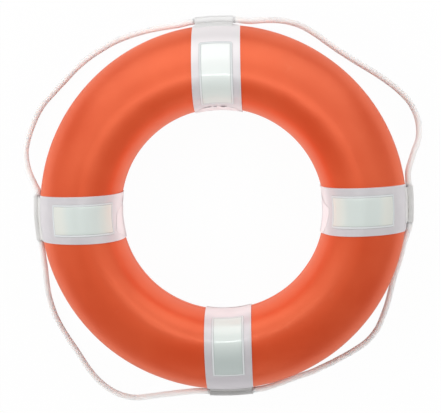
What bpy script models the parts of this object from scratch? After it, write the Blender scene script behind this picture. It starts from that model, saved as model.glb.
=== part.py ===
"""Life ring: a foam ring in a two-part vinyl cover, four bands wrapped round it, reflective
patches on both faces, and a grab line threaded through a sleeve on each band.

The ring lies on its back. Z is the ring's axis, the front face looks up, +Y is the top of the
front face, and the lowest patches touch z = 0. Metres, with angles in degrees."""

import math

import bmesh
import bpy
import numpy as np

# Foam ring and its cover
ring_radius = 0.2335  # from the ring's axis to the middle of its section
section_width = 0.133  # from the hole to the outside
section_height = 0.129  # from the back to the front
crest_shift = 0.012  # the section is fullest this far from its middle, towards the hole
cover_thickness = 0.0012

# Bands, each one strip that laps over its own start on the hole's side
band_width = 0.076
band_thickness = 0.001
lap_length = 0.03  # from the seam on the hole's side to the strip's visible end
lap_corner = 0.01  # cut off each corner of that end

# Reflective patches, welded down along a flat rim
patch_length = 0.108  # round the section
patch_width = 0.052
patch_thickness = 0.0006
patch_rim = 0.004
patch_crown = 0.0003  # rise of the field above the rim

# Sleeves that hold the rope on the bands
sleeve_length = 0.066
sleeve_thickness = 0.0012
sleeve_flange = 0.012
sleeve_arch = 70  # the arch leaves the rope this far from straight out

# Grab line
rope_diameter = 0.0095
rope_slack = 0.002  # height of the sleeve's bore beyond the rope
rope_overhang = 0.002  # held rope that shows at each mouth of a sleeve
mouth_run = 0.024  # the rope leaves a sleeve straight and level for this long
fall_length = 0.13  # plan distance in which it then comes down to the ground

touch_gap = 0.0003  # between pieces that touch

# Each band's direction, how far its middle line passes from the ring's axis, the middle of its
# patches round the section, from the outside towards the hole, and how far its sleeve is off
# the band's middle. They were laid by hand, so they differ a little.
bands = {
    "right": {"turn": 0.1, "offset": -0.001, "patch": 88, "sleeve": 0},
    "top": {"turn": 89.7, "offset": 0, "patch": 92, "sleeve": 0.004},
    "left": {"turn": 180.3, "offset": 0.001, "patch": 93.5, "sleeve": 0.002},
    "bottom": {"turn": 269.9, "offset": 0.006, "patch": 99.5, "sleeve": -0.003},
}

# Routes of the four free bays of rope, seen from above, between the mouths of two sleeves
bays = {
    "top_left": {
        "ends": ("top", "left"),
        "route": [
            (-0.074, 0.305), (-0.112, 0.302), (-0.151, 0.295), (-0.187, 0.281), (-0.219, 0.260),
            (-0.249, 0.235), (-0.277, 0.208), (-0.305, 0.180), (-0.321, 0.145), (-0.326, 0.107),
            (-0.316, 0.070),
        ],
    },
    "bottom_left": {
        "ends": ("left", "bottom"),
        "route": [
            (-0.302, -0.081), (-0.304, -0.118), (-0.307, -0.155), (-0.299, -0.192),
            (-0.281, -0.226), (-0.262, -0.258), (-0.242, -0.290), (-0.216, -0.317),
            (-0.182, -0.333), (-0.145, -0.331), (-0.109, -0.319), (-0.072, -0.309),
        ],
    },
    "bottom_right": {
        "ends": ("bottom", "right"),
        "route": [
            (0.078, -0.299), (0.117, -0.293), (0.157, -0.286), (0.194, -0.272), (0.229, -0.253),
            (0.257, -0.226), (0.273, -0.189), (0.283, -0.150), (0.289, -0.111), (0.298, -0.074),
        ],
    },
    "top_right": {
        "ends": ("right", "top"),
        "route": [
            (0.312, 0.067), (0.327, 0.101), (0.331, 0.138), (0.319, 0.172), (0.292, 0.198),
            (0.261, 0.219), (0.230, 0.239), (0.199, 0.260), (0.169, 0.281), (0.136, 0.297),
            (0.101, 0.308), (0.064, 0.306),
        ],
    },
}

# Fineness of the faceted solids
ring_sides = 60
section_sides = 22  # twice an odd number, so that the section has a flat top and bottom
band_spans = 4
sleeve_spans = 4
arch_spans = 6
rope_sides = 10
rope_step = 2.4  # rope diameters between the points of a bay
curve_samples = 16  # between two points of a route
least_span = math.radians(1.5)  # a patch leaves out a facet's edge nearer than this to its rim

# Sizes that follow from the others
half_width = section_width / 2
half_height = section_height / 2
section_step = 2 * math.pi / section_sides
facet_sag = (ring_radius - half_width) * (1 - math.cos(math.pi / ring_sides))
lay_gap = touch_gap + facet_sag  # from one wrapped layer to the next, clear of its facets
band_skin = lay_gap + band_thickness  # the band's outside, from the cover's
patch_lay = band_skin + lay_gap
mid_height = (half_height + patch_lay + patch_crown) * math.cos(section_step / 2) + patch_thickness
rope_radius = rope_diameter / 2
band_outside = ring_radius + half_width + band_skin
rope_orbit = band_outside + touch_gap + rope_radius  # the held rope's middle, from the ring's axis
ground_height = rope_radius + touch_gap

orange = ("orange_vinyl", (0.80, 0.115, 0.05, 1), 0.45)
foam = ("white_foam", (0.85, 0.84, 0.80, 1), 0.9)
white = ("white_vinyl", (0.78, 0.78, 0.81, 1), 0.4)
reflective = ("reflective_film", (0.66, 0.72, 0.69, 1), 0.2)
cordage = ("braided_rope", (0.76, 0.74, 0.72, 1), 0.8)


def clear_scene():
    for obj in list(bpy.data.objects):
        bpy.data.objects.remove(obj, do_unlink=True)


def finish(kind):
    """The material of this kind, made the first time that it is asked for."""
    name, color, roughness = kind
    if name in bpy.data.materials:
        return bpy.data.materials[name]
    material = bpy.data.materials.new(name)
    material.use_nodes = True
    shader = material.node_tree.nodes["Principled BSDF"]
    shader.inputs["Base Color"].default_value = color
    shader.inputs["Roughness"].default_value = roughness
    shader.inputs["Metallic"].default_value = 0.0
    return material


def add_object(name, data, kind, turn=0.0):
    """A named piece, turned about the ring's axis and carried by the ring's empty."""
    data.materials.append(finish(kind))
    obj = bpy.data.objects.new(name, data)
    obj.rotation_euler.z = turn
    obj.parent = bpy.data.objects["life_ring"]
    bpy.context.scene.collection.objects.link(obj)
    return obj


def add_wall(obj, thickness):
    """Gives a sheet its thickness, outwards from where it lies."""
    wall = obj.modifiers.new("wall", "SOLIDIFY")
    wall.thickness = thickness
    wall.offset = 1
    wall.use_even_offset = True


def section(phi, proud):
    """Distance from the axis and height of the section at angle phi, this far proud of the cover."""
    distance = ring_radius + (half_width + proud) * np.cos(phi) - crest_shift * np.sin(phi) ** 2
    height = mid_height + (half_height + proud) * np.sin(phi)
    return distance, height


def revolved(name, distance, height, kind, closed=False, sweep=2 * math.pi, steps=ring_sides, turn=0.0):
    """A profile at +X, top to bottom on its outer side, turned about the ring's axis."""
    mesh = bpy.data.meshes.new(name)
    count = len(distance)
    points = np.column_stack([distance, np.zeros(count), height])
    edges = [(i, i + 1) for i in range(count - 1)]
    if closed:
        edges.append((count - 1, 0))
    mesh.from_pydata(points.tolist(), edges, [])
    obj = add_object(name, mesh, kind, turn)
    screw = obj.modifiers.new("revolve", "SCREW")
    screw.angle = sweep
    screw.steps = screw.render_steps = steps
    screw.use_smooth_shade = True
    screw.use_merge_vertices = sweep == 2 * math.pi
    screw.merge_threshold = 0.0001
    return obj


def round_section(start, lengths, proud):
    """The angles that lie these lengths from the start, measured round the section."""
    phi = np.linspace(0, math.pi, 361)
    distance, height = section(phi, proud)
    steps = np.hypot(np.diff(distance), np.diff(height))
    travelled = np.concatenate([[0], np.cumsum(steps)])
    return np.interp(np.interp(start, phi, travelled) + lengths, travelled, phi)


def wrapped(across, phi, proud):
    """Points on a band's own ground: this far across from its middle plane, at angle phi round
    the section, this far proud of the cover. The band's edges stay in parallel planes."""
    distance, height = section(phi, proud)
    along = np.sqrt(distance**2 - across**2)
    return np.stack(np.broadcast_arrays(along, across, height), axis=-1)


def sheet(name, points, thickness, kind, turn):
    """A strip of fabric through a grid of points, walled outwards and turned to its band."""
    bm = bmesh.new()
    rows = [[bm.verts.new(p) for p in row] for row in points]
    for low, high in zip(rows, rows[1:]):
        for i in range(len(low) - 1):
            bm.faces.new((low[i], low[i + 1], high[i + 1], high[i]))
    mesh = bpy.data.meshes.new(name)
    bm.to_mesh(mesh)
    bm.free()
    mesh.shade_smooth()
    obj = add_object(name, mesh, kind, math.radians(turn))
    add_wall(obj, thickness)
    return obj


def make_core():
    """The solid foam ring."""
    phi = -section_step * np.arange(section_sides)
    distance, height = section(phi, -cover_thickness - touch_gap)
    revolved("foam_core", distance, height, foam, closed=True)


def make_cover(name, side):
    """Half of the cover: a vinyl channel that meets the other half at the outer and inner seams.
    Side is 1 for the front half and -1 for the back half."""
    seam = touch_gap / 2 / half_height
    phi = np.linspace(math.pi, 0, section_sides // 2 + 1)
    phi[[0, -1]] = math.pi - seam, seam
    phi = phi if side > 0 else -phi[::-1]
    distance, height = section(phi, -cover_thickness)
    add_wall(revolved(name, distance, height, orange), cover_thickness)


def make_band(name, turn, offset):
    """One strip round the section. It starts at the inner seam, goes over the front, the outside
    and the back, and its end laps over its start, with both corners cut."""
    across = np.linspace(-band_width / 2, band_width / 2, band_spans + 1)
    phi = math.pi - section_step * np.arange(section_sides + 3)
    phi = np.repeat(phi[None, :], len(across), axis=0)
    corner = np.maximum(np.abs(across) - (band_width / 2 - lap_corner), 0)
    phi[:, -1] = round_section(math.pi, corner - lap_length, lay_gap) - 2 * math.pi
    proud = np.full(section_sides + 3, lay_gap)
    proud[-3:] += band_thickness + touch_gap
    sheet(name, wrapped(across[:, None] + offset, phi, proud), band_thickness, white, turn)


def make_patch(name, turn, offset, middle, side):
    """A reflective patch: a flat rim round a slightly raised field."""
    half = patch_length / 2
    lengths = np.array([-half, patch_rim - half, half - patch_rim, half])
    ends = round_section(math.radians(middle), lengths, patch_lay)
    facets = section_step * np.arange(1, section_sides // 2)
    inside = (facets > ends[1] + least_span) & (facets < ends[2] - least_span)
    phi = np.sort(np.concatenate([ends, facets[inside]]))
    phi = phi[::-1] if side > 0 else -phi
    half = patch_width / 2
    across = np.array([-half, patch_rim - half, 0, half - patch_rim, half])[:, None] + offset
    proud = np.full((len(across), len(phi)), patch_lay)
    proud[1:-1, 1:-1] += patch_crown
    sheet(name, wrapped(across, phi, proud), patch_thickness, reflective, turn)


def sleeve_angle(band):
    """Where the middle of this band's sleeve is, round the ring's axis."""
    return math.radians(band["turn"]) + (band["offset"] + band["sleeve"]) / rope_orbit


def make_sleeve(name, angle):
    """A strip welded to the band by two flanges, arched over the rope between them."""
    radius = rope_radius + rope_slack / 2
    middle = band_outside + touch_gap + radius
    arch = np.radians(np.linspace(sleeve_arch, -sleeve_arch, arch_spans + 1))
    lift = middle + radius * math.cos(arch[0]) - (band_outside + lay_gap)
    root = radius * math.sin(arch[0]) + lift / math.tan(arch[0])
    flange = half_height + patch_lay
    near = math.asin(root / flange)
    phi = np.array([near + sleeve_flange / flange, near])
    upper, upper_height = section(phi, patch_lay)
    lower, lower_height = section(-phi[::-1], patch_lay)
    distance = np.concatenate([upper, middle + radius * np.cos(arch), lower])
    height = np.concatenate([upper_height, mid_height + radius * np.sin(arch), lower_height])
    sweep = sleeve_length / rope_orbit
    obj = revolved(
        name, distance, height, white, sweep=sweep, steps=sleeve_spans, turn=angle - sweep / 2
    )
    add_wall(obj, sleeve_thickness)


def rope(name, points):
    """A round rope along these points, with flat ends."""
    curve = bpy.data.curves.new(name, "CURVE")
    curve.dimensions = "3D"
    curve.bevel_depth = rope_radius
    curve.bevel_resolution = rope_sides // 2 - 2
    curve.use_fill_caps = True
    spline = curve.splines.new("POLY")
    spline.points.add(len(points) - 1)
    for point, place in zip(spline.points, points):
        point.co = (*place, 1)
    add_object(name, curve, cordage)


def mouth(band, side, beyond):
    """The rope's middle at a sleeve's mouth, and the way out of it. Side is 1 for the mouth that
    faces counterclockwise, and beyond is how far the place lies outside the sleeve."""
    angle = sleeve_angle(bands[band]) + side * (sleeve_length / 2 + beyond) / rope_orbit
    place = rope_orbit * np.array([math.cos(angle), math.sin(angle)])
    way = side * np.array([-math.sin(angle), math.cos(angle)])
    return place, way


def make_held_rope(name, middle):
    """The stretch inside a sleeve, lying against the band."""
    half = (sleeve_length / 2 + rope_overhang) / rope_orbit
    angle = middle + np.linspace(-half, half, sleeve_spans + 1)
    x, y = rope_orbit * np.cos(angle), rope_orbit * np.sin(angle)
    rope(name, np.column_stack([x, y, np.full(len(angle), mid_height)]))


def smooth_curve(points):
    """A Catmull-Rom curve through the points."""
    ends = 2 * points[[0, -1]] - points[[1, -2]]
    p = np.vstack([ends[:1], points, ends[1:]])
    t = np.linspace(0, 1, curve_samples, endpoint=False)[:, None]
    runs = [
        (2 * b + (c - a) * t + (2 * a - 5 * b + 4 * c - d) * t**2 + (3 * b - a - 3 * c + d) * t**3) / 2
        for a, b, c, d in zip(p, p[1:], p[2:], p[3:])
    ]
    return np.vstack([*runs, points[-1:]])


def make_bay(name, ends, route):
    """A free bay: straight out of one sleeve, down to the ground, along it and up to the next."""
    first, way_out = mouth(ends[0], 1, rope_overhang + touch_gap)
    last, way_in = mouth(ends[1], -1, rope_overhang + touch_gap)
    stops = [first, first + mouth_run * way_out, *route, last + mouth_run * way_in, last]
    plan = smooth_curve(np.array(stops))
    along = np.concatenate([[0], np.cumsum(np.linalg.norm(np.diff(plan, axis=0), axis=1))])
    even = np.linspace(0, along[-1], round(along[-1] / (rope_step * rope_diameter)) + 1)
    x, y = np.interp(even, along, plan[:, 0]), np.interp(even, along, plan[:, 1])
    fallen = np.clip((np.minimum(even, along[-1] - even) - mouth_run) / fall_length, 0, 1)
    fallen = fallen**2 * (3 - 2 * fallen)
    z = mid_height + (ground_height - mid_height) * fallen
    points = np.column_stack([x, y, z])
    rope(name, points)
    print(name, "length", round(np.linalg.norm(np.diff(points, axis=0), axis=1).sum(), 3))


clear_scene()
bpy.context.scene.collection.objects.link(bpy.data.objects.new("life_ring", None))
make_core()
make_cover("front_cover", 1)
make_cover("back_cover", -1)
for place, band in bands.items():
    turn, offset = band["turn"], band["offset"]
    make_band(f"band_{place}", turn, offset)
    make_patch(f"front_reflector_{place}", turn, offset, band["patch"], 1)
    make_patch(f"back_reflector_{place}", turn, offset, band["patch"], -1)
    make_sleeve(f"rope_sleeve_{place}", sleeve_angle(band))
    make_held_rope(f"held_rope_{place}", sleeve_angle(band))
for place, bay in bays.items():
    make_bay(f"rope_bay_{place}", bay["ends"], bay["route"])
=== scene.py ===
import math

import bpy
import numpy as np
from mathutils import Matrix, Vector


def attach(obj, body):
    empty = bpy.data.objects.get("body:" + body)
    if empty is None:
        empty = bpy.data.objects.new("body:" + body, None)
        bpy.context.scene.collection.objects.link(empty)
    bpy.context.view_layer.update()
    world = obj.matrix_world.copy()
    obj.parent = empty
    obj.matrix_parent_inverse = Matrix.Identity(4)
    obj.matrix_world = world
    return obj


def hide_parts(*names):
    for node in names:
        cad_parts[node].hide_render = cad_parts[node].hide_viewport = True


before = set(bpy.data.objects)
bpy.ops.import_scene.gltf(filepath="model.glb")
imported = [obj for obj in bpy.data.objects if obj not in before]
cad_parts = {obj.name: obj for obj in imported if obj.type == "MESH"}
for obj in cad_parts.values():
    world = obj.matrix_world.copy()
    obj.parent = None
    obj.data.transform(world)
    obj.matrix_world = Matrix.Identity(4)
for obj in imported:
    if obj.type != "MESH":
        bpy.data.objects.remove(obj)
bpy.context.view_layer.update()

# The ring lies on its back: Z is its axis, the front face looks up, +Y is the top of the front
# face. Everything is in metres.

ring = {
    "radius": 0.2335,  # from the ring's axis to the middle of its section
    "halfWidth": 0.0665,
    "halfHeight": 0.0645,
    "crestShift": 0.012,  # the section is fullest this far towards the hole
    "middle": 0.066777,  # height of the section's middle
    "orbit": 0.306579,  # of the rope held in the sleeves
    "reach": 0.066,  # metres round the section for each radian
}

# Each band's direction, how far its middle line passes from the axis, the middle of its patches
# round the section, how far its sleeve is off its middle, how far the rope hangs out from the
# band there, how far inside of the rope its sleeve is sewn down, the sleeve's length, how
# uneven the lap's end is, and the cut end of the lap as places (across the band in metres,
# round the section in degrees).
bands = {
    "Right": {
        "turn": 0.1, "offset": -0.001, "patch": 88, "sleeve": 0.0033, "hang": 0.0, "groove": 0.0037,
        "sleeveLength": 0.0585, "pucker": 0.0001,
        "cut": [(-0.038, 163), (-0.0247, 153.7), (-0.006, 147.6), (0.005, 147.6), (0.0175, 178),
                (0.03, 192), (0.038, 198)],
    },
    "Top": {
        "turn": 89.7, "offset": 0.0, "patch": 92, "sleeve": 0.004, "hang": 0.0019, "groove": 0.0042,
        "sleeveLength": 0.061, "pucker": 0.0007,
        "cut": [(-0.038, 176), (-0.028, 158), (-0.012, 151), (0.014, 152), (0.027, 157),
                (0.038, 170)],
    },
    "Left": {
        "turn": 180.3, "offset": 0.001, "patch": 93.5, "sleeve": 0.001, "hang": -0.0002, "groove": 0.0018,
        "sleeveLength": 0.073, "pucker": 0.0001,
        "cut": [(-0.038, 198), (-0.028, 196), (-0.0195, 188), (-0.014, 171), (-0.006, 157),
                (0.024, 151), (0.031, 166), (0.038, 185)],
    },
    "Bottom": {
        "turn": 269.9, "offset": 0.006, "patch": 99.5, "sleeve": 0.0006, "hang": 0.0013, "groove": 0.0023,
        "sleeveLength": 0.071, "pucker": 0.0001,
        "cut": [(-0.038, 197), (-0.03, 196), (0.03, 196), (0.038, 197)],
    },
}

# Routes of the free bays of rope between two sleeves, seen from above

bays = {
    "TopLeft": {
        "ends": ("Top", "Left"), "node": "rope_bay_top_left",
        "route": [
            (-0.0612, 0.3023), (-0.0891, 0.3007), (-0.1170, 0.2984), (-0.1445, 0.2935),
            (-0.1712, 0.2855), (-0.1963, 0.2731), (-0.2203, 0.2588), (-0.2425, 0.2418),
            (-0.2627, 0.2224), (-0.2829, 0.2031), (-0.3024, 0.1832), (-0.3173, 0.1595),
            (-0.3265, 0.1331), (-0.3291, 0.1053), (-0.3216, 0.0785), (-0.3089, 0.0536),
        ],
    },
    "BottomLeft": {
        "ends": ("Left", "Bottom"), "node": "rope_bay_bottom_left",
        "route": [
            (-0.3018, -0.0634), (-0.3030, -0.0915), (-0.3068, -0.1194), (-0.3090, -0.1474),
            (-0.3051, -0.1753), (-0.2949, -0.2015), (-0.2815, -0.2262), (-0.2668, -0.2503),
            (-0.2528, -0.2747), (-0.2367, -0.2977), (-0.2165, -0.3173), (-0.1920, -0.3311),
            (-0.1646, -0.3365), (-0.1370, -0.3315), (-0.1102, -0.3226), (-0.0836, -0.3134),
            (-0.0564, -0.3063),
        ],
    },
    "BottomRight": {
        "ends": ("Bottom", "Right"), "node": "rope_bay_bottom_right",
        "route": [
            (0.0612, -0.3024), (0.0887, -0.2980), (0.1162, -0.2943), (0.1438, -0.2914),
            (0.1703, -0.2833), (0.1952, -0.2711), (0.2194, -0.2575), (0.2420, -0.2414),
            (0.2593, -0.2199), (0.2706, -0.1945), (0.2794, -0.1682), (0.2850, -0.1410),
            (0.2896, -0.1136), (0.2941, -0.0862), (0.2978, -0.0587),
        ],
    },
    "TopRight": {
        "ends": ("Right", "Top"), "node": "rope_bay_top_right",
        "route": [
            (0.3047, 0.0583), (0.3152, 0.0842), (0.3273, 0.1095), (0.3290, 0.1375),
            (0.3194, 0.1638), (0.3012, 0.1852), (0.2797, 0.2034), (0.2567, 0.2196),
            (0.2328, 0.2347), (0.2094, 0.2504), (0.1864, 0.2666), (0.1639, 0.2837),
            (0.1397, 0.2980), (0.1126, 0.3053), (0.0845, 0.3064), (0.0564, 0.3043),
        ],
    },
}

# Camera

cameraLook = {
    "place": (0.07103, 0.17029, 1.45947),
    "right": (0.99836, -0.03299, -0.04689),
    "up": (0.02702, 0.99208, -0.12270),
    "back": (0.05056, 0.12123, 0.99134),
    "lens": 69.81, "sensor": 36,  # in millimetres
    "shift": (-0.0030, 0.0099),
}


def addCamera(look):
    data = bpy.data.cameras.new("camera")
    data.sensor_fit = "HORIZONTAL"
    data.sensor_width = look["sensor"]
    data.lens = look["lens"]
    data.shift_x, data.shift_y = look["shift"]
    data.clip_end = 50
    camera = bpy.data.objects.new("camera", data)
    axes = [(*look[axis], 0) for axis in ("right", "up", "back")]
    camera.matrix_world = Matrix([*axes, (*look["place"], 1)]).transposed()
    bpy.context.scene.collection.objects.link(camera)
    bpy.context.scene.camera = camera


# Meshes from arrays

def cellCorners(rows, cols, wrap=False, width=None):
    # The four corner numbers of each cell of a grid that is numbered row by row. With wrap the
    # last column's cells end at the first column, unless the numbers are those of a wider grid.
    down = np.arange(rows - 1)[:, None]
    across = np.arange(cols if wrap else cols - 1)
    after = across + 1 if width else (across + 1) % cols
    width = width or cols
    here, below = down * width, (down + 1) * width
    four = [here + across, here + after, below + after, below + across]
    return np.stack(four, -1).reshape(-1, 4)


def shellVolume(points, polygons):
    # Six times the volume inside: each face, as a fan of triangles, with the origin
    total = 0
    for corners, _ in polygons:
        first = points[corners[:, 0]]
        for i in range(1, corners.shape[1] - 1):
            cross = np.cross(points[corners[:, i]], points[corners[:, i + 1]])
            total += np.einsum("ij,ij->", first, cross)
    return total


def addMesh(name, points, polygons, values=None):
    # Polygons are pairs of arrays, corner numbers (n, k) and their (n, k, 2) places on the
    # pattern. A shell that faces inwards is turned round.
    if shellVolume(points, polygons) < 0:
        polygons = [(corners[:, ::-1], places[:, ::-1]) for corners, places in polygons]
    corners = np.concatenate([c.ravel() for c, _ in polygons])
    places = np.concatenate([p.reshape(-1, 2) for _, p in polygons])
    sizes = np.concatenate([np.full(len(c), c.shape[1]) for c, _ in polygons])
    mesh = bpy.data.meshes.new(name)
    mesh.vertices.add(len(points))
    mesh.vertices.foreach_set("co", np.float32(points).ravel())
    mesh.loops.add(len(corners))
    mesh.loops.foreach_set("vertex_index", np.int32(corners))
    mesh.polygons.add(len(sizes))
    mesh.polygons.foreach_set("loop_start", np.int32(np.cumsum(sizes) - sizes))
    mesh.update(calc_edges=True)
    mesh.polygons.foreach_set("use_smooth", sizes == 4)
    layer = mesh.uv_layers.new(name="pattern")
    layer.data.foreach_set("uv", np.float32(places).ravel())
    for key, value in (values or {}).items():
        attribute = mesh.attributes.new(key, "FLOAT", "POINT")
        attribute.data.foreach_set("value", np.float32(value).ravel())
    piece = bpy.data.objects.new(name, mesh)
    bpy.context.scene.collection.objects.link(piece)
    return piece


def addSheet(name, outer, inner, places, wrap=False):
    # A walled sheet: an outer and an inner grid of points, joined round their border. Places are
    # those of the outer grid on the pattern, with one more column where the sheet wraps round.
    rows, cols = outer.shape[:2]
    wide = cols + wrap
    cells = cellCorners(rows, cols, wrap)
    spots = cellCorners(rows, cols, wrap, wide)
    number = np.arange(rows * cols).reshape(rows, cols)
    spot = np.arange(rows * wide).reshape(rows, wide)
    if wrap:
        number = np.hstack([number, number[:, :1]])
    edges = [(number[0], spot[0]), (number[-1, ::-1], spot[-1, ::-1])]
    if not wrap:
        edges += [(number[:, -1], spot[:, -1]), (number[::-1, 0], spot[::-1, 0])]
    count = rows * cols
    sides = [np.stack([e[1:], e[:-1], e[:-1] + count, e[1:] + count], -1) for e, _ in edges]
    sideSpots = [np.stack([s[1:], s[:-1], s[:-1], s[1:]], -1) for _, s in edges]
    corners = np.vstack([cells, cells[:, ::-1] + count, *sides])
    flat = places.reshape(-1, 2)
    pattern = flat[np.vstack([spots, spots[:, ::-1], *sideSpots])]
    points = np.vstack([outer.reshape(-1, 3), inner.reshape(-1, 3)])
    return addMesh(name, points, [(corners, pattern)])


def graded(half, count, fine=(0.00015, 0.0004, 0.0008, 0.0014)):
    # Places from -half to half: even inside, and closer together by both edges
    fine = np.array(fine)
    inside = np.linspace(2 * fine[-1] - half, half - 2 * fine[-1], count)
    return np.concatenate([[-half], fine - half, inside, half - fine[::-1], [half]])


def rounded(distance, radius):
    # Height of a rounded edge, from 0 at the edge to 1 where it ends
    near = 1 - np.clip(distance / radius, 0, 1)
    return np.sqrt(1 - near**2)


def smoothStep(value):
    value = np.clip(value, 0, 1)
    return value * value * (3 - 2 * value)


def smoothCurve(points, samples):
    # A Catmull-Rom curve: cubic spans whose slope at each point is along its two neighbours
    ends = 2 * points[[0, -1]] - points[[1, -2]]
    p = np.vstack([ends[:1], points, ends[1:]])
    t = np.linspace(0, 1, samples, endpoint=False)[None, :, None]
    a, b, c, d = (p[i:len(p) - 3 + i][:, None] for i in range(4))
    spans = 2 * b + (c - a) * t + (2 * a - 5 * b + 4 * c - d) * t**2 + (3 * b - a - 3 * c + d) * t**3
    return np.vstack([spans.reshape(-1, points.shape[1]) / 2, points[-1:]])


def travelledLength(line):
    return np.concatenate([[0], np.cumsum(np.linalg.norm(np.diff(line, axis=0), axis=1))])


def resampled(line, lengths):
    travelled = travelledLength(line)
    return np.stack([np.interp(lengths, travelled, column) for column in line.T], -1)


def section(phi, proud):
    # Distance from the axis and height of the ring's section at angle phi from straight out:
    # an ellipse whose crest is pushed towards the hole by the squared sine
    distance = ring["radius"] + (ring["halfWidth"] + proud) * np.cos(phi)
    distance = distance - ring["crestShift"] * np.sin(phi) ** 2
    return distance, ring["middle"] + (ring["halfHeight"] + proud) * np.sin(phi)


def roundSection(start, lengths, proud):
    # The angles that lie these lengths from the start angle, measured round the section
    phi = np.linspace(0, math.pi, 721)
    distance, height = section(phi, proud)
    travelled = np.concatenate([[0], np.cumsum(np.hypot(np.diff(distance), np.diff(height)))])
    return np.interp(np.interp(start, phi, travelled) + lengths, travelled, phi)


def onBand(band, across, phi, proud):
    # The place this far across a band from its middle, at angle phi round the section: the
    # revolved section, cut by planes that are parallel to the band's middle plane
    distance, height = section(phi, proud)
    side = across + band["offset"]
    along = np.sqrt(distance**2 - side**2)
    turn = math.radians(band["turn"])
    x = along * math.cos(turn) - side * math.sin(turn)
    y = along * math.sin(turn) + side * math.cos(turn)
    return np.stack(np.broadcast_arrays(x, y, height), -1)


def waves(u, v, seed, count, low, high):
    # A soft unevenness: the sum of plane waves over (u, v), with seeded directions and phases
    # and lengths from low to high
    draw = np.random.default_rng(seed)
    total = 0
    for _ in range(count):
        angle, phase = draw.uniform(0, 2 * math.pi, 2)
        often = 2 * math.pi / draw.uniform(low, high)
        total = total + np.sin(often * (u * math.cos(angle) + v * math.sin(angle)) + phase)
    return total / math.sqrt(count)


# Finishes

class Wire:
    # A socket on which arithmetic adds Math nodes
    def __init__(self, finish, socket):
        self.finish = finish
        self.socket = socket

    def math(self, operation, *others):
        values = dict(enumerate([self, *others]))
        return self.finish.node("ShaderNodeMath", {"operation": operation}, values)

    def __add__(self, other):
        return self.math("ADD", other)

    def __sub__(self, other):
        return self.math("SUBTRACT", other)

    def __rsub__(self, other):
        return self * -1 + other

    def __mul__(self, other):
        return self.math("MULTIPLY", other)

    def __truediv__(self, other):
        return self.math("DIVIDE", other)

    __radd__ = __add__
    __rmul__ = __mul__

    def rise(self, low, high):
        # 0 up to low, 1 from high on, with a smooth step between them
        settings = {"interpolation_type": "SMOOTHSTEP"}
        values = {"Value": self, "From Min": low, "From Max": high}
        return self.finish.node("ShaderNodeMapRange", settings, values)


class Finish:
    # The nodes of a material or of the world, and the one method that adds them
    def __init__(self, owner):
        self.owner = owner
        owner.use_nodes = True
        self.tree = owner.node_tree
        self.tree.nodes.clear()

    def node(self, kind, settings=None, values=None, output=0):
        node = self.tree.nodes.new(kind)
        for key, value in (settings or {}).items():
            setattr(node, key, value)
        for key, value in (values or {}).items():
            if isinstance(value, Wire):
                self.tree.links.new(value.socket, node.inputs[key])
            else:
                node.inputs[key].default_value = value
        return Wire(self, node.outputs[output]) if node.outputs else None

    def place(self):
        return self.node("ShaderNodeTexCoord", output="Object")

    def ray(self, kind):
        return self.node("ShaderNodeLightPath", output=kind)

    def pattern(self):
        # The two places on the pattern that runs with the piece
        uv = self.node("ShaderNodeUVMap", {"uv_map": "pattern"})
        return [self.node("ShaderNodeSeparateXYZ", {}, {0: uv}, i) for i in range(2)]

    def value(self, name):
        return self.node("ShaderNodeAttribute", {"attribute_name": name}, output="Fac")

    def noise(self, scale, detail=2.0, rough=0.5):
        values = {"Vector": self.place(), "Scale": scale, "Detail": detail, "Roughness": rough}
        return self.node("ShaderNodeTexNoise", {}, values)

    def cells(self, scale):
        return self.node("ShaderNodeTexVoronoi", {}, {"Vector": self.place(), "Scale": scale})

    def blend(self, factor, first, second):
        values = {0: factor}
        for key, color in ((6, first), (7, second)):
            values[key] = color if isinstance(color, Wire) else (*color, 1)
        return self.node("ShaderNodeMix", {"data_type": "RGBA"}, values, 2)

    def bump(self, height, distance, strength):
        values = {"Height": height, "Distance": distance, "Strength": strength}
        return self.node("ShaderNodeBump", {}, values)

    def surface(self, values):
        shader = self.node("ShaderNodeBsdfPrincipled", {}, values)
        self.node("ShaderNodeOutputMaterial", {}, {"Surface": shader})
        return self.owner


def newFinish(name):
    return Finish(bpy.data.materials.new(name))


# Orange coated fabric of the cover: a fine leathery grain under a satin coat

orangeLook = {
    "light": (0.84, 0.100, 0.031), "deep": (0.79, 0.077, 0.020), "scuff": (0.88, 0.22, 0.13),
    "roughness": 0.38, "grain": 620, "grainDepth": 0.00005, "depth": 0.26,
    "gloss": 1.7, "sheen": (1.0, 0.82, 0.52),
}


def orangeVinyl(look):
    finish = newFinish("orangeVinyl")
    broad = finish.noise(9, 3)
    scuffs = finish.noise(42, 6, 0.66).rise(0.62, 0.78) * finish.noise(6, 2).rise(0.45, 0.62)
    grain = finish.cells(look["grain"]) * 0.7 + finish.noise(1500, 2) * 0.5
    color = finish.blend(broad.rise(0.3, 0.7), look["deep"], look["light"])
    return finish.surface({
        "Base Color": finish.blend(scuffs * 0.16, color, look["scuff"]),
        "Roughness": broad * 0.08 + scuffs * 0.08 + (look["roughness"] - 0.04),
        "Normal": finish.bump(grain, look["grainDepth"], 0.8),
        "Metallic": look["depth"],
        "IOR": look["gloss"],
        "Specular IOR Level": 1.0,
        "Specular Tint": (*look["sheen"], 1),
    })


# White coated fabric of the bands and sleeves: its scrim just shows through the coat

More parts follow.
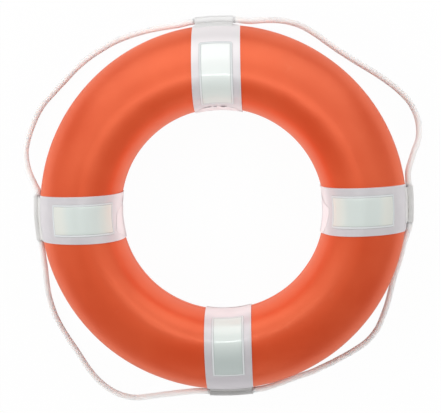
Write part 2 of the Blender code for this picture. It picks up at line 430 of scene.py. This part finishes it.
# High and low are painted light and shade, the fabric lighter at the top of the ring and darker at
# its bottom; the From ranges for them are where along Y it turns into them. LapEnd and lapStart are
# where along the strip it takes the lap's colour, a painted light that makes the lap and the hole
# side lighter and pinker, at the strip's end and at its start, and the start takes only a share of it.
whiteLook = {
    "light": (0.735, 0.705, 0.72), "shade": (0.69, 0.66, 0.685), "soiled": (0.60, 0.58, 0.56),
    "high": (0.85, 0.81, 0.82), "low": (0.66, 0.63, 0.66),
    "paintedHoleLight": (0.95, 0.895, 0.91), "darkGrimeAndShade": (0.30, 0.26, 0.22), "oliveGrimeAndShade": (0.62, 0.60, 0.42),
    "paintedLightFrom": (0.21, 0.26), "paintedShadeFrom": (-0.27, -0.21),
    "lapEnd": (-0.217, -0.206), "lapStart": (0.16, 0.19), "holeLightShare": 0.75,
    "roughness": 0.38, "scrim": 0.0012, "depth": 0.26,
}
# The sleeves' fabric: high and low here are its own painted light and shade
sleeveWhite = {
    **whiteLook, "light": (0.82, 0.81, 0.795), "shade": (0.76, 0.75, 0.735),
    "high": (0.78, 0.775, 0.77), "low": (0.54, 0.53, 0.525),
}


def whiteVinyl(name, look, sewn=None):
    # With sewn the fabric takes painted shade mixed with grime along its length at this distance from its
    # middle line, most towards the mouths
    finish = newFinish(name)
    u, v = finish.pattern()
    often = 2 * math.pi / look["scrim"]
    scrim = (u * often).math("SINE") * (v * often).math("SINE")
    broad = finish.noise(24, 4, 0.6)
    specks = finish.noise(260, 4, 0.7).rise(0.66, 0.8) * finish.noise(15, 2).rise(0.5, 0.7)
    color = finish.blend(broad.rise(0.3, 0.75), look["shade"], look["light"])
    # painted light and shade: lighter at the top of the ring and darker at its bottom
    y = finish.node("ShaderNodeSeparateXYZ", {}, {0: finish.place()}, 1)
    color = finish.blend(y.rise(*look["paintedLightFrom"]), color, look["high"])
    color = finish.blend(1 - y.rise(*look["paintedShadeFrom"]), color, look["low"])
    # painted light: the lap and the hole side near the strip's start lighter and pinker
    lapEnd, lapStart = v.rise(*look["lapEnd"]), v.rise(*look["lapStart"])
    lapped = (1 - lapEnd).math("MAXIMUM", lapStart * look["holeLightShare"])
    color = finish.blend(lapped, color, look["paintedHoleLight"])
    if sewn:
        # painted shade with grime along the sewn groove, darker towards the sleeve's mouths
        root = 1 - (v.math("ABSOLUTE") - sewn).math("ABSOLUTE").rise(0.0003, 0.0011)
        mouth = u.math("ABSOLUTE").rise(0.022, 0.034) * 0.4 + 0.6
        grimeAndShade = finish.blend(finish.noise(260, 2).rise(0.4, 0.6), look["darkGrimeAndShade"], look["oliveGrimeAndShade"])
        color = finish.blend(root * mouth * finish.noise(150, 3, 0.6).rise(0.25, 0.6), color, grimeAndShade)
    return finish.surface({
        "Base Color": finish.blend(specks * 0.25, color, look["soiled"]),
        "Metallic": look["depth"],
        "Roughness": broad * 0.12 + (look["roughness"] - 0.06),
        "Normal": finish.bump(scrim * 0.35 + finish.noise(700, 3), 0.00004, 0.7),
    })


# Reflective film: a field of fine prism cells behind a clear glossy face, in a rim that is welded
# down along two thin lines. The From ranges along Y are where the field turns into low and high,
# painted shade and painted light, and sideFrom and endFrom are how far from X = 0 and from the
# film's middle it turns warm, a painted reflection.

filmLook = {
    "size": (0.052, 0.108), "rim": 0.0034, "cell": 0.0031,
    "cool": (0.74, 0.805, 0.77), "paintedWarmReflection": (0.81, 0.825, 0.765), "seam": (0.80, 0.83, 0.80),
    "low": (0.57, 0.635, 0.615), "high": (0.88, 0.91, 0.89),
    "white": (0.72, 0.74, 0.75), "line": (0.40, 0.41, 0.41),
    "paintedShadeFrom": (-0.24, -0.19), "paintedLightFrom": (0.19, 0.25), "sideFrom": (0.08, 0.16),
    "endFrom": (0.027, 0.045),
}


def reflectiveFilm(look):
    finish = newFinish("reflectiveFilm")
    u, v = finish.pattern()
    half = [side / 2 for side in look["size"]]
    edge = (half[0] - u.math("ABSOLUTE")).math("MINIMUM", half[1] - v.math("ABSOLUTE"))
    inside = edge.rise(look["rim"] - 0.0002, look["rim"] + 0.0002)
    weld = 1 - (edge - look["rim"]).math("ABSOLUTE").rise(0.0002, 0.0006)
    border = 1 - edge.rise(0.0004, 0.0009)
    # the distance to the nearest line of a slanting lattice
    slants = [(v + u * side) / look["cell"] for side in (1.73, -1.73)]
    lines = [(s.math("FRACT") - 0.5).math("ABSOLUTE") for s in slants]
    lattice = lines[0].math("MAXIMUM", lines[1]).rise(0.44, 0.49)
    broad = finish.noise(16, 2)
    x, y = (finish.node("ShaderNodeSeparateXYZ", {}, {0: finish.place()}, i) for i in range(2))
    # painted shade and painted light: darker at the bottom of the ring and lighter at its top
    field = finish.blend(y.rise(*look["paintedShadeFrom"]), look["low"], look["cool"])
    field = finish.blend(y.rise(*look["paintedLightFrom"]), field, look["high"])
    # painted reflection: the films at the two sides turn warm towards their ends
    ends = (v.math("ABSOLUTE") + broad * 0.012).rise(*look["endFrom"])
    atSide = x.math("ABSOLUTE").rise(*look["sideFrom"])
    field = finish.blend(ends * atSide, field, look["paintedWarmReflection"])
    field = finish.blend(lattice * 0.12, field, look["seam"])
    color = finish.blend(inside, look["white"], field)
    color = finish.blend((weld * 0.7).math("MAXIMUM", border * 0.65), color, look["line"])
    return finish.surface({
        "Base Color": color,
        "Metallic": inside * 0.14,
        "Roughness": 0.4 - inside * 0.06 + broad * 0.06,
        "Normal": finish.bump(lattice * inside * -0.4 + finish.noise(300, 2) * 0.6, 0.00004, 0.5),
        "Coat Weight": inside * 0.75 + 0.15,
        "Coat Roughness": 0.06,
        "Coat IOR": 1.6,
    })


# Braided rope: off-white yarns, with painted shade in the creases

ropeLook = {
    "crest": (0.96, 0.945, 0.93), "paintedCreaseShade": (0.72, 0.68, 0.655), "tint": (0.88, 0.85, 0.83),
    "fuzz": 0.25, "yarnWave": 44,  # radians for each strand, so about 7 yarns
    # how much light passes through the fibres, how far, and each colour's share of that reach
    "through": 0.8, "reach": 0.008, "spread": (1.0, 0.9, 0.85),
}


def braidedRope(look):
    finish = newFinish("braidedRope")
    a, b = finish.pattern()
    raised, over = finish.value("raised"), finish.value("over").rise(0.4, 0.6)
    yarns = [(side * look["yarnWave"]).math("SINE") for side in (a, b)]
    fibre = yarns[0] * over + yarns[1] * (1 - over)
    strand = (a.math("FLOOR") * 0.37 + b.math("FLOOR") * 0.53).math("SINE") * 0.5 + 0.5
    color = finish.blend(strand * 0.45, look["crest"], look["tint"])
    color = finish.blend(finish.noise(60, 4, 0.6).rise(0.5, 0.75) * 0.35, color, look["tint"])
    # painted shade: the yarns darker where the braid is low, in its creases
    color = finish.blend(raised.rise(0.15, 0.8), look["paintedCreaseShade"], color)
    return finish.surface({
        "Base Color": color,
        "Roughness": 0.78,
        "Sheen Weight": look["fuzz"],
        "Subsurface Weight": look["through"],
        "Subsurface Radius": look["spread"],
        "Subsurface Scale": look["reach"],
        "Normal": finish.bump(fibre * 0.5 + finish.noise(2500, 2), 0.00008, 0.35),
    })


# Closed-cell foam of the core

foamLook = {"light": (0.86, 0.85, 0.81), "paintedPoreShade": (0.66, 0.64, 0.58)}


def whiteFoam(look):
    finish = newFinish("whiteFoam")
    pores = finish.cells(420).rise(0.1, 0.6)
    return finish.surface({
        # painted shade: the foam darker in its pores
        "Base Color": finish.blend(pores, look["paintedPoreShade"], look["light"]),
        "Roughness": 0.9,
        "Normal": finish.bump(pores, 0.0004, 0.6),
    })


# The ring itself

coverLook = {
    "thickness": 0.0012, "sides": 480, "spans": 80, "uneven": 0.00016,
    "seamGap": 0.0003, "seamDepth": 0.0007, "seamWidth": 0.0014,
    "cut": (0.67, 0.67), "area": 0.3,  # of the flat pieces, in metres and square metres
}


def makeCover(name, side, look, material):
    # Half of the cover: the section revolved, softly uneven, and drawn in along its two seams
    seam = look["seamGap"] / 2 / ring["halfHeight"]
    rows = np.array([0, 0.0004, 0.0009, 0.0016, 0.0026, 0.004])
    ends = seam + rows / ring["halfHeight"]
    inside = np.linspace(ends[-1], math.pi - ends[-1], look["spans"])[1:-1]
    phi = np.concatenate([ends, inside, math.pi - ends[::-1]])[:, None]
    theta = np.linspace(0, 2 * math.pi, look["sides"], endpoint=False)[None, :]
    away = np.minimum(phi, math.pi - phi) * ring["halfHeight"]
    uneven = look["uneven"] * waves(theta * ring["radius"], phi * ring["reach"], 4 + side, 9, 0.05, 0.16)
    drawn = look["seamDepth"] * np.exp(-((away / look["seamWidth"]) ** 2))
    lift = uneven * smoothStep(away / 0.02) - drawn

    def revolved(proud):
        distance, height = section(side * phi, proud)
        distance, height = distance + 0 * theta, height + 0 * theta
        return np.stack([distance * np.cos(theta), distance * np.sin(theta), height], -1)

    around = np.linspace(0, 2 * math.pi, look["sides"] + 1)[None, :]
    places = np.stack(np.broadcast_arrays(around * ring["radius"], phi * ring["reach"]), -1)
    piece = addSheet(name, revolved(lift), revolved(-look["thickness"]), places, wrap=True)
    piece.data.materials.append(material)
    return piece


coreLook = {"inset": 0.0015, "sides": 240, "spans": 96}


def makeCore(name, look, material):
    # The foam ring: the whole section revolved, a little inside the cover
    phi = np.linspace(0, 2 * math.pi, look["spans"], endpoint=False)[:, None]
    theta = np.linspace(0, 2 * math.pi, look["sides"], endpoint=False)[None, :]
    distance, height = section(phi, -look["inset"])
    x, y = distance * np.cos(theta), distance * np.sin(theta)
    points = np.stack(np.broadcast_arrays(x, y, height), -1)
    points = np.vstack([points, points[:1]])
    corners = cellCorners(look["spans"] + 1, look["sides"], wrap=True) % (look["spans"] * look["sides"])
    spots = cellCorners(look["spans"] + 1, look["sides"], True, look["sides"] + 1)
    rows, cols = np.divmod(spots, look["sides"] + 1)
    places = np.stack([cols * 0.006, rows * 0.004], -1)
    piece = addMesh(name, points[:-1].reshape(-1, 3), [(corners, places)])
    piece.data.materials.append(material)
    return piece


# Bands

bandLook = {
    "width": 0.076, "thickness": 0.001, "lay": 0.0002, "columns": 46,
    "rows": 166, "lapStep": 0.0011, "start": 200, "lapFrom": 236,  # degrees round the section
    "endThinning": 0.6, "cut": 0.447, "uneven": 0.00012,
    # degrees past the outside where it starts to climb over its own start, and over how many
    "climb": (134, 22),
}


def makeBand(place, band, look, material):
    # One strip round the section, from the seam in the hole over the front, the outside and the
    # back, and on over its own start to its cut end
    across = graded(look["width"] / 2, look["columns"])[None, :]
    acrossCut, phiCut = np.array(band["cut"]).T
    end = np.interp(across, acrossCut, phiCut)
    end = np.radians(end - 360)
    reach = ring["reach"]
    begin = math.radians(look["start"])
    common = np.linspace(begin, math.radians(look["lapFrom"] - 360), look["rows"])
    last = common[-1]
    share = np.linspace(0, 1, round(1.75 * reach / look["lapStep"]))[1:]
    close = 1 - np.array([0.0012, 0.0006, 0.0003, 0.0001]) / (1.5 * reach)
    share = np.concatenate([share[:-1], close[close > share[-2]], [1]])[:, None]
    phi = np.vstack([common[:, None] + 0 * across, last + (end - last) * share])
    slope = np.gradient(end[0] * reach, across[0])[None, :]
    toEnd = (phi - end) * reach / np.sqrt(1 + slope**2)
    toStart = (begin - phi) * reach
    toSide = look["width"] / 2 - np.abs(across)
    nearest = np.minimum(np.minimum(toEnd, toStart), toSide)
    thinned = 1 - look["endThinning"] * (1 - smoothStep(toEnd / 0.012))
    wall = look["thickness"] * thinned * (0.3 + 0.7 * rounded(nearest, 0.0006))
    turned = np.degrees(-phi)  # 0 at the outside, 90 at the back, 180 in the hole, 210 at the lap
    climbFrom, climbOver = look["climb"]
    climb = (look["thickness"] + look["lay"]) * smoothStep((turned - climbFrom) / climbOver)
    soft = waves(across, phi * reach, 31 + len(place), 8, 0.018, 0.05)
    puckers = waves(across, phi * reach * 0.5, 77 + len(place), 7, 0.005, 0.012)
    lapped = smoothStep((turned - 176) / 10)
    lift = climb + look["uneven"] * (soft + 1.5) * smoothStep((np.abs(turned) - 20) / 60)
    lift = lift + (band["pucker"] * (puckers + 1.2) * lapped
                   * np.exp(-toEnd / 0.007) * np.exp(-((across / 0.02) ** 4)))
    inner = look["lay"] + lift
    places = np.stack(np.broadcast_arrays(across, phi * reach), -1)
    faces = [onBand(band, across, phi, proud) for proud in (inner + wall, inner)]
    piece = addSheet(f"band{place}", *faces, places)
    piece.data.materials.append(material)
    return piece


# Reflective patches

patchLook = {
    "width": 0.052, "length": 0.108, "thickness": 0.0004, "lay": 0.0014, "corner": 0.003,
    "rim": 0.0034, "weld": 0.0002, "crown": 0.0002, "uneven": 0.00004,
    "clearance": 0.0002, "columns": 40, "rows": 84,
}


def makePatch(name, band, side, look, material):
    # A film laid round the section: a flat rim, a groove where it is welded, and a raised field
    halfWidth, halfLength, corner = look["width"] / 2, look["length"] / 2, look["corner"]
    fine = (0.00015, 0.0004, 0.0008, 0.0014, 0.0022, 0.0028, 0.0031, 0.0034, 0.0037, 0.0041, 0.0047)
    along = graded(halfLength, look["rows"], fine)[:, None]
    across = graded(halfWidth, look["columns"], fine)[None, :]
    toEnd = halfLength - np.abs(along)
    missing = corner - np.sqrt(np.maximum(corner**2 - np.clip(corner - toEnd, 0, corner) ** 2, 0))
    across = across * (halfWidth - missing) / halfWidth
    edge = np.minimum(halfWidth - missing - np.abs(across), toEnd + 0 * across)
    middle = math.radians(band["patch"])
    phi = roundSection(middle, along, look["lay"]) * side
    groove = np.exp(-(((edge - look["rim"]) / 0.00035) ** 2))
    field = smoothStep((edge - look["rim"]) / 0.0016)
    wall = look["thickness"] * (0.3 + 0.7 * rounded(edge, 0.0005)) - look["weld"] * groove
    wall = wall + look["crown"] * field
    uneven = waves(across, along, 5 + len(name), 6, 0.02, 0.06) * look["uneven"] * field
    places = np.stack(np.broadcast_arrays(across, along), -1)
    lay = look["lay"] + look["clearance"]
    faces = [onBand(band, across, phi, proud) for proud in (lay + wall + uneven, lay + 0 * across)]
    piece = addSheet(name, *faces, places)
    piece.data.materials.append(material)
    return piece


# Rope sleeves

sleeveLook = {
    "thickness": 0.0007, "radius": 0.00585, "lay": 0.0015, "border": 0.0216,
    "depth": 0.0007, "lip": 0.0008, "slope": 0.0045, "sewn": 0.0142,
    "flare": 0.0006, "uneven": 0.00012, "columns": 60, "rows": 92,
}


def sleeveAngle(band):
    return math.radians(band["turn"]) + (band["offset"] + band["sleeve"]) / ring["orbit"]


def sleeveProfile(band, look):
    # The outer face in the plane of the section, as distances and heights from the lower border
    # to the upper one, and its length from the middle to a groove: an arch round the rope, the
    # sewn groove beside it, a lip that slopes down to the band, and a flat border
    def face(height, proud):
        distance, _ = section(np.arcsin(height / (ring["halfHeight"] + look["lay"])), look["lay"])
        return np.stack([distance + proud, height], -1)

    orbit, groove = ring["orbit"] + band["hang"], band["groove"]
    bend = np.linspace(0, math.acos((0.0003 - groove) / look["radius"]), 18)
    arch = look["radius"] * np.stack([np.cos(bend), np.sin(bend)], -1) + (orbit, 0)
    top = arch[-1, 1]
    sewn = np.array([orbit - groove, top - look["depth"]])
    lip = np.array([orbit - groove - 0.0006, top + look["lip"]])
    down = np.linspace(0, 1, 6)[1:]
    proud = (lip - face(lip[1], 0))[0] * (1 - down) ** 1.5 + 0.0006 * down
    slope = face(lip[1] + look["slope"] * down, proud)
    flat = np.linspace(slope[-1, 1], look["border"], 8)[1:]
    flat = face(flat, 0.0001 + 0.0005 * smoothStep((look["border"] - flat) / 0.004))
    half = np.vstack([arch, sewn, lip, slope, flat])
    whole = smoothCurve(np.vstack([half[:0:-1] * (1, -1), half]), 24)
    travelled = travelledLength(whole)
    even = resampled(whole, np.linspace(0, travelled[-1], 1201))
    kernel = np.hanning(19)  # eases the turns over about half a millimetre
    padded = np.pad(even.T, ((0, 0), (9, 9)), mode="reflect", reflect_type="odd")
    outline = np.stack([np.convolve(line, kernel / kernel.sum(), "valid") for line in padded])
    nearest = np.argmin(np.hypot(*(outline - sewn[:, None])))
    return outline, abs(nearest / 1200 - 0.5) * travelled[-1]


def makeSleeve(place, band, look, material):
    # A strip with that profile, carried round the ring, a little wider at its two mouths
    outline, sewn = sleeveProfile(band, look)
    travelled = travelledLength(outline.T)
    reach = travelled[-1] / 2
    length = graded(band["sleeveLength"] / 2, look["columns"])[:, None]
    near = np.linspace(-0.0014, 0.0014, 11)
    spread = graded(reach, look["rows"])
    spread = spread[np.abs(np.abs(spread) - sewn) > 0.0016]
    spread = np.sort(np.concatenate([spread, near - sewn, near + sewn]))[None, :]
    distance, height = (np.interp(spread[0] + reach, travelled, line) for line in outline)
    slope = [np.gradient(line, travelled) for line in outline]
    outward = np.stack([slope[1], -slope[0]]) / np.hypot(*slope)
    outward = [np.interp(spread[0] + reach, travelled, line) for line in outward]
    toMouth = band["sleeveLength"] / 2 - np.abs(length)
    onArch = smoothStep((0.0085 - np.abs(height)) / 0.004)[None, :]
    lift = look["flare"] * np.exp(-toMouth / 0.004) * onArch
    soft = waves(length, spread, 50 + len(place), 7, 0.009, 0.03)
    lift = lift + look["uneven"] * onArch * (soft + 1)
    nearest = np.minimum(toMouth, reach - np.abs(spread))
    wall = look["thickness"] * (0.3 + 0.7 * rounded(nearest, 0.0005))
    turn = sleeveAngle(band) + length / ring["orbit"]

    def carried(out):
        away = distance[None, :] + outward[0][None, :] * out
        level = ring["middle"] + height + outward[1] * out
        return np.stack([away * np.cos(turn), away * np.sin(turn), level], -1)

    places = np.stack(np.broadcast_arrays(length, spread * look["sewn"] / sewn), -1)
    piece = addSheet(f"ropeSleeve{place}", carried(lift), carried(lift - wall), places)
    piece.data.materials.append(material)
    return piece, 2 * reach


# Grab line

lineLook = {
    "diameter": 0.0095, "strands": 8, "lay": 0.036, "relief": 0.0009, "weave": 0.45,
    "overhang": 0.002, "mouthRun": 0.008, "fall": 0.13, "ground": 0.00505, "around": 64,
}


def sleeveMouth(place, side, look):
    band = bands[place]
    angle = sleeveAngle(band) + side * (band["sleeveLength"] / 2 + look["overhang"]) / ring["orbit"]
    out = np.array([math.cos(angle), math.sin(angle)])
    return (ring["orbit"] + band["hang"]) * out, side * np.array([-out[1], out[0]])


def bayLine(bay, look):
    # A free bay: level and straight out of one sleeve, down to the ground, along it and up again
    first, wayOut = sleeveMouth(bay["ends"][0], 1, look)
    last, wayIn = sleeveMouth(bay["ends"][1], -1, look)
    run = look["mouthRun"]
    plan = [first, first + run * wayOut, *bay["route"], last + run * wayIn, last]
    plan = smoothCurve(np.array(plan), 60)
    travelled = travelledLength(plan)
    nearest = np.minimum(travelled, travelled[-1] - travelled)
    fallen = smoothStep((nearest - run) / look["fall"])
    return np.column_stack([plan, ring["middle"] + (look["ground"] - ring["middle"]) * fallen])


def heldLine(band, look):
    # The stretch in a sleeve, round the ring on the band
    half = (band["sleeveLength"] / 2 + look["overhang"]) / ring["orbit"]
    angle = sleeveAngle(band) + np.linspace(-half, half, 200)
    level = np.full(len(angle), ring["middle"])
    orbit = ring["orbit"] + band["hang"]
    return np.column_stack([orbit * np.cos(angle), orbit * np.sin(angle), level])


def braid(name, line, start, lay, look, material):
    # A braided tube along a line. Strands run round it both ways, and each crosses over and
    # under the others in turn: where a strand of one hand is number i and one of the other hand
    # is number j, the first is on top where i + j is even. The surface is the higher of the two.
    whole = travelledLength(line)[-1]
    step = lay / look["around"]
    numbers = np.arange(math.ceil(start / step), math.floor((start + whole) / step) + 1)
    marks = numbers * step - start
    marks = marks[(marks > step / 4) & (marks < whole - step / 4)]
    lengths = np.concatenate([[0], marks, [whole]])
    centres = resampled(line, lengths)
    even = np.linspace(0, whole, 400)
    tangent = np.gradient(resampled(line, even), axis=0)
    tangent = np.stack([np.interp(lengths, even, column) for column in tangent.T], -1)
    tangent /= np.linalg.norm(tangent, axis=1, keepdims=True)
    sideways = np.cross((0, 0, 1), tangent)
    sideways /= np.linalg.norm(sideways, axis=1, keepdims=True)
    upward = np.cross(tangent, sideways)
    turn = np.arange(look["around"] + 1) / look["around"]
    run = (start + lengths[:, None]) / lay
    a, b = look["strands"] * (turn + run), look["strands"] * (turn - run)
    nudge = 1e-6
    i, j = np.floor(a + nudge), np.floor(b + nudge)
    crest = [np.sqrt(np.maximum(1 - ((2 * (x - n) - 1) / 1.02) ** 2, 0)) for x, n in ((a, i), (b, j))]
    crossing = [np.cos(math.pi * (b - 0.5)) * (-1) ** i, -np.cos(math.pi * (a - 0.5)) * (-1) ** j]
    heights = [c + look["weave"] * (w - 1) for c, w in zip(crest, crossing)]
    raised = np.clip(np.maximum(*heights), 0, 1)
    over = heights[0] >= heights[1]
    radius = look["diameter"] / 2 + look["relief"] * (raised - 0.72)
    angle = 2 * math.pi * turn
    cosine, sine = np.cos(angle)[None, :, None], np.sin(angle)[None, :, None]
    way = cosine * sideways[:, None] + sine * upward[:, None]
    points = (centres[:, None] + radius[..., None] * way)[:, :-1]
    rows, cols = points.shape[:2]
    corners = cellCorners(rows, cols, wrap=True)
    places = np.stack([a, b], -1).reshape(-1, 2)[cellCorners(rows, cols, True, cols + 1)]
    ends = np.stack([np.arange(cols)[::-1], np.arange(cols) + (rows - 1) * cols])
    endPlaces = np.stack([a[[0, -1], :-1], b[[0, -1], :-1]], -1)
    values = {"raised": raised[:, :-1], "over": over[:, :-1]}
    piece = addMesh(name, points.reshape(-1, 3), [(corners, places), (ends, endPlaces)], values)
    piece.data.materials.append(material)
    return piece, centres


# Floor, world and lamps

stageLook = {
    "floor": (0.86, 0.86, 0.86), "half": 6.0, "drop": 0.0003,
    "whiten": 0.97,  # how far the camera sees it as plain white
    "mirrored": 0.12, "mirroredInHole": 0.75,  # the share of that which gloss on the ring shows
    "holeRim": (0.13, 0.19),  # distances from the axis between which one turns into the other
    # the surroundings light matt surfaces with fill, and gloss shows them by about glow more
    "glow": 0.12, "fill": 0.04,
}


def seen(finish, mirrored):
    # 1 where the camera or a glass looks, less where a mirror does, 0 where a matt surface does
    clear = finish.ray("Is Camera Ray").math("MAXIMUM", finish.ray("Is Transmission Ray"))
    return clear.math("MAXIMUM", finish.ray("Is Glossy Ray") * mirrored)


def addStage(look):
    world = bpy.data.worlds.new("studio")
    bpy.context.scene.world = world
    finish = Finish(world)
    strength = look["fill"] + seen(finish, look["glow"]) * (1 - look["fill"])
    values = {"Color": (1, 1, 1, 1), "Strength": strength}
    background = finish.node("ShaderNodeBackground", {}, values)
    finish.node("ShaderNodeOutputWorld", {}, {"Surface": background})
    size = look["half"]
    mesh = bpy.data.meshes.new("floor")
    corners = [(-size, -size), (size, -size), (size, size), (-size, size)]
    mesh.from_pydata([(x, y, -look["drop"]) for x, y in corners], [], [(0, 1, 2, 3)])
    floor = bpy.data.objects.new("floor", mesh)
    bpy.context.scene.collection.objects.link(floor)
    finish = newFinish("paleFloor")
    matt = finish.node("ShaderNodeBsdfDiffuse", {}, {"Color": (*look["floor"], 1)})
    white = finish.node("ShaderNodeEmission", {}, {"Color": (1, 1, 1, 1), "Strength": 1.0})
    # the gloss on the ring shows the floor inside the hole brighter than the floor outside
    away = finish.node("ShaderNodeVectorMath", {"operation": "LENGTH"}, {0: finish.place()}, 1)
    inHole = 1 - away.rise(*look["holeRim"])
    mirrored = inHole * (look["mirroredInHole"] - look["mirrored"]) + look["mirrored"]
    shown = seen(finish, mirrored) * look["whiten"]
    both = finish.node("ShaderNodeMixShader", {}, {0: shown, 1: matt, 2: white})
    finish.node("ShaderNodeOutputMaterial", {}, {"Surface": both})
    mesh.materials.append(finish.owner)


# Mirrored lamps also show in gloss, and the others only light matt surfaces
lampLooks = {
    "softbox": {
        "size": (2.6, 0.82), "place": (0, 0.97, 0.64), "target": (0, 0, 0.12),
        "power": 7.7, "mirrored": True,
    },
    "panel": {
        "size": (2.6, 0.63), "place": (0, 0.471, 1.125), "target": (0, 0.2, 0.555),
        "power": 3.1, "mirrored": True,
    },
    "overhead": {
        "size": (2.6, 0.63), "place": (0, 0.471, 1.125), "target": (0, 0.2, 0.555),
        "power": 7.2, "mirrored": False,
    },
    "strip": {
        "size": (1.0, 0.04), "place": (0, 0.187, 1.26), "target": (0, 0.187, 0),
        "power": 1.4, "mirrored": True,
    },
    "left": {
        "size": (1.6, 1.4), "place": (-1.55, 0.1, 0.95), "target": (0, 0, 0.07),
        "power": 19.3, "mirrored": False,
    },
    "right": {
        "size": (1.6, 1.4), "place": (1.55, 0.1, 0.95), "target": (0, 0, 0.07),
        "power": 14.0, "mirrored": False,
    },
    "low": {
        "size": (1.2, 0.6), "place": (0, -1.8, 0.8), "target": (0, 0, 0.07),
        "power": 14.1, "mirrored": False,
    },
    "hole": {
        "radius": 0.05, "place": (0, 0, 0.13), "target": (0, 0, 0),
        "power": 0.167, "mirrored": False,
    },
}


def addLamp(name, look):
    # A rectangle of light, or a small ball of it where the look has a radius
    data = bpy.data.lights.new(name, "POINT" if "radius" in look else "AREA")
    if "radius" in look:
        data.shadow_soft_size = look["radius"]
    else:
        data.shape = "RECTANGLE"
        data.size, data.size_y = look["size"]
    data.energy = look["power"]
    lamp = bpy.data.objects.new(name, data)
    lamp.location = look["place"]
    toward = Vector(look["target"]) - Vector(look["place"])
    lamp.rotation_euler = toward.to_track_quat("-Z", "Y").to_euler()
    lamp.visible_camera = False
    lamp.visible_glossy = look["mirrored"]
    bpy.context.scene.collection.objects.link(lamp)


bpy.context.scene.view_settings.view_transform = "Standard"
addCamera(cameraLook)
print("camera placed")

vinyl, fabric = orangeVinyl(orangeLook), whiteVinyl("whiteVinyl", whiteLook)
sewnFabric = whiteVinyl("sewnVinyl", sleeveWhite, sewn=sleeveLook["sewn"])
film, cordage, foam = reflectiveFilm(filmLook), braidedRope(ropeLook), whiteFoam(foamLook)
print("finishes made")


def settle(piece, node):
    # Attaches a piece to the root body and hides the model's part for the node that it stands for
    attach(piece, "root")
    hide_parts(node)


heldLines = {place: heldLine(band, lineLook) for place, band in bands.items()}
stretches = []
for corner in ("TopRight", "TopLeft", "BottomLeft", "BottomRight"):
    bay = bays[corner]
    stretches.append((f"ropeBay{corner}", bay["node"], bayLine(bay, lineLook), True))
    held = bay["ends"][1]
    stretches.append((f"heldRope{held}", f"held_rope_{held.lower()}", heldLines[held], False))
wholeLength = sum(travelledLength(line)[-1] for _, _, line, _ in stretches)
layLength = wholeLength / round(wholeLength / lineLook["lay"])
start = 0.0
for name, node, line, free in stretches:
    piece, centres = braid(name, line, start, layLength, lineLook, cordage)
    settle(piece, node)
    if free:
        print(name, "length", round(travelledLength(line)[-1], 3))
    start += travelledLength(line)[-1]
print("grab line made")

core = makeCore("foamCore", coreLook, foam)
settle(core, "foam_core")
for name, side, node in (("frontCover", 1, "front_cover"), ("backCover", -1, "back_cover")):
    cover = makeCover(name, side, coverLook, vinyl)
    settle(cover, node)
print("ring made")

for place, band in bands.items():
    low = place.lower()
    strip = makeBand(place, band, bandLook, fabric)
    settle(strip, f"band_{low}")
    for face, side in (("front", 1), ("back", -1)):
        patch = makePatch(f"{face}Reflector{place}", band, side, patchLook, film)
        settle(patch, f"{face}_reflector_{low}")
    sleeve, girth = makeSleeve(place, band, sleeveLook, sewnFabric)
    settle(sleeve, f"rope_sleeve_{low}")
print("bands, patches and sleeves made")

addStage(stageLook)
for name, look in lampLooks.items():
    addLamp(name, look)
print("floor and light placed")
